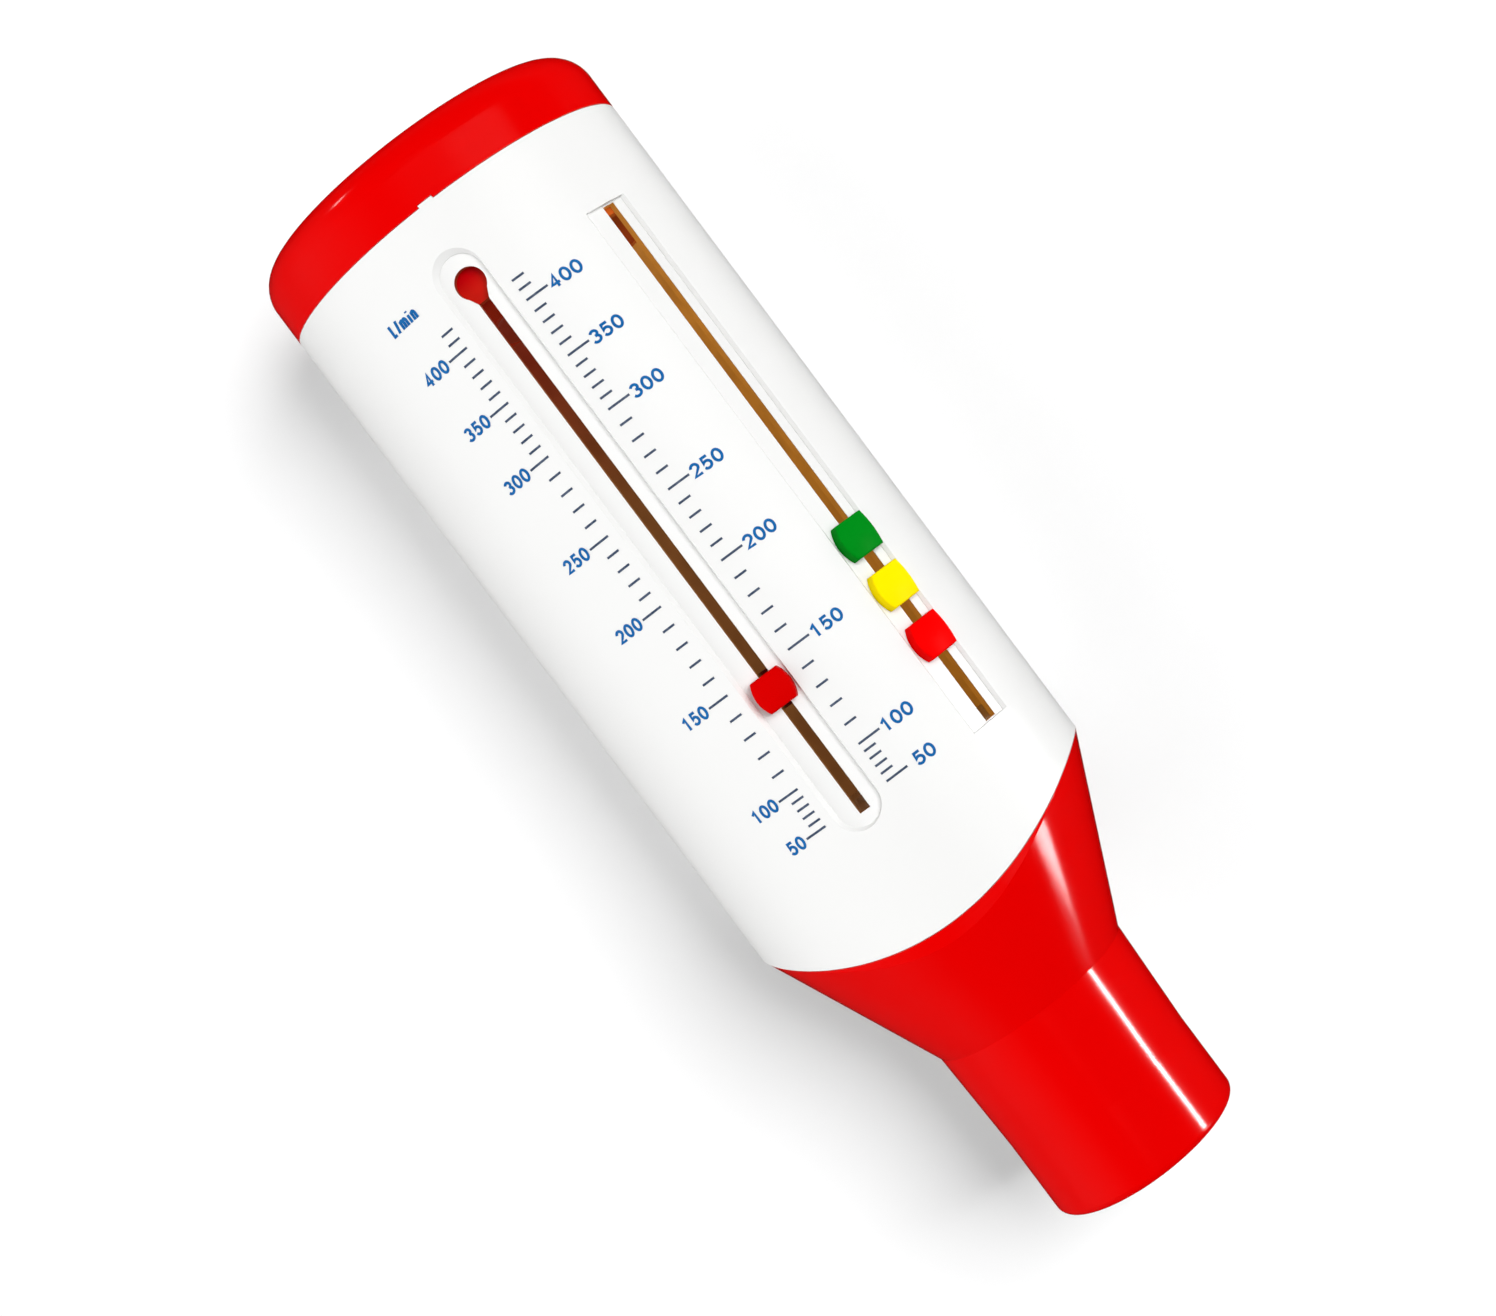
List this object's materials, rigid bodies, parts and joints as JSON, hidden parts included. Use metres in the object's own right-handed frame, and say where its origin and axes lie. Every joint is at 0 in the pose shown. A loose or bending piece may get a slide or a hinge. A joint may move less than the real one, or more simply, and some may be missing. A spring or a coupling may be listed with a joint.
{
  "type": "peak flow meter",
  "caption": "Hand-held peak flow meter: white oval barrel with a scale and sliding pointer, coloured zone markers, red end cap and red round mouthpiece.",
  "frame": {"origin": "bottom centre of the bounding box: the meter lies on its back", "axes": "+Y along the barrel from the mouthpiece to the end cap, +Z out of the face that carries the scale, +X to the reader's right"},
  "size_m": [0.055, 0.1716, 0.0425],
  "materials": {
    "white_plastic": "smooth semi-gloss",
    "red_plastic": "gloss",
    "acetal": "satin natural",
    "piston_plastic": "satin",
    "steel": "drawn, bright",
    "rubber": "matte",
    "pointer_red": "gloss",
    "marker_red": "gloss",
    "marker_yellow": "gloss",
    "marker_green": "gloss"
  },
  "bodies": {
    "housing": {"barrel": "white_plastic", "end_cap": "red_plastic", "mouthpiece_adapter": "red_plastic", "inlet_spider": "acetal", "guide_rod": "steel", "rod_screw": "steel", "rod_washer": "steel", "rear_buffer": "rubber", "return_spring": "steel"},
    "piston": {"piston_plate": "piston_plastic", "piston_bush": "acetal", "piston_clip": "steel"},
    "pointer": {"pointer": "pointer_red", "pointer_leaf": "steel"},
    "red_marker": {"red_marker": "marker_red", "red_marker_foot": "acetal"},
    "yellow_marker": {"yellow_marker": "marker_yellow", "yellow_marker_foot": "acetal"},
    "green_marker": {"green_marker": "marker_green", "green_marker_foot": "acetal"}
  },
  "joints": [
    {"name": "piston_slide", "type": "slide", "parent": "housing", "child": "piston", "axis": [0, 1, 0], "range_m": [0, 0.0785], "stiffness_N_per_m": 15, "springref_m": -0.02, "deforming": ["return_spring"]},
    {"name": "pointer_slide", "type": "slide", "parent": "housing", "child": "pointer", "axis": [0, 1, 0], "range_m": [-0.018, 0.0603]},
    {"name": "red_marker_slide", "type": "slide", "parent": "housing", "child": "red_marker", "axis": [0, 1, 0], "range_m": [-0.0109, 0.0171]},
    {"name": "yellow_marker_slide", "type": "slide", "parent": "red_marker", "child": "yellow_marker", "axis": [0, 1, 0], "range_m": [-0.0027, 0.0171]},
    {"name": "green_marker_slide", "type": "slide", "parent": "yellow_marker", "child": "green_marker", "axis": [0, 1, 0], "range_m": [-0.0024, 0.0171]}
  ],
  "couplings": [
    {"joint": "pointer_slide", "follows": "piston_slide", "ratio": 0.768}
  ]
}
